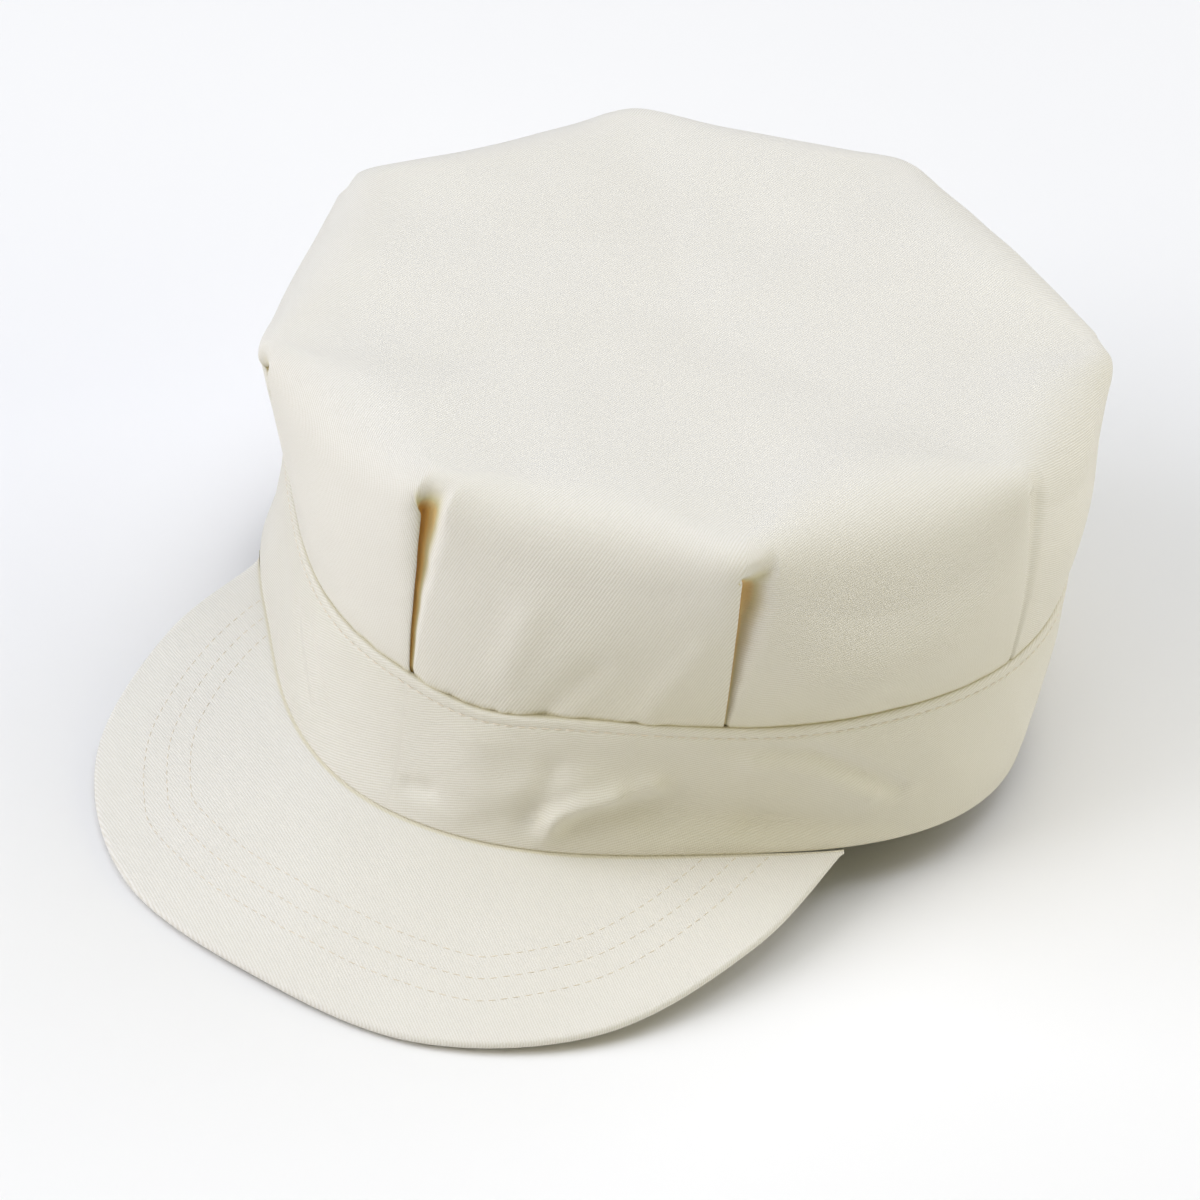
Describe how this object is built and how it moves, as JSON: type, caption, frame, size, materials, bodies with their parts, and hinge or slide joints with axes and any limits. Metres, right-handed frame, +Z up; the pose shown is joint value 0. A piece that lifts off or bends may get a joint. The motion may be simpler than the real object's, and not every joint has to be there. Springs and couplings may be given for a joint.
{
  "type": "eight panel work cap with a short peak",
  "caption": "Ivory cloth work cap: a flat octagonal crown folded into knife pleats, a plain headband and a short stitched peak.",
  "frame": {"origin": "bottom centre of the cap's box as it rests on its peak and rear rim", "axes": "+Z up, -Y towards the peak, +X to the right seen from the front"},
  "size_m": [0.1952, 0.2458, 0.1039],
  "materials": {
    "crown_cloth": "ivory twill, matt with a faint sheen",
    "band_cloth": "ivory twill, doubled and topstitched",
    "peak_cloth": "ivory twill over a board, with three stitch rows"
  },
  "bodies": {
    "root": {"crown": "crown_cloth", "band": "band_cloth", "peak": "peak_cloth"}
  },
  "joints": []
}
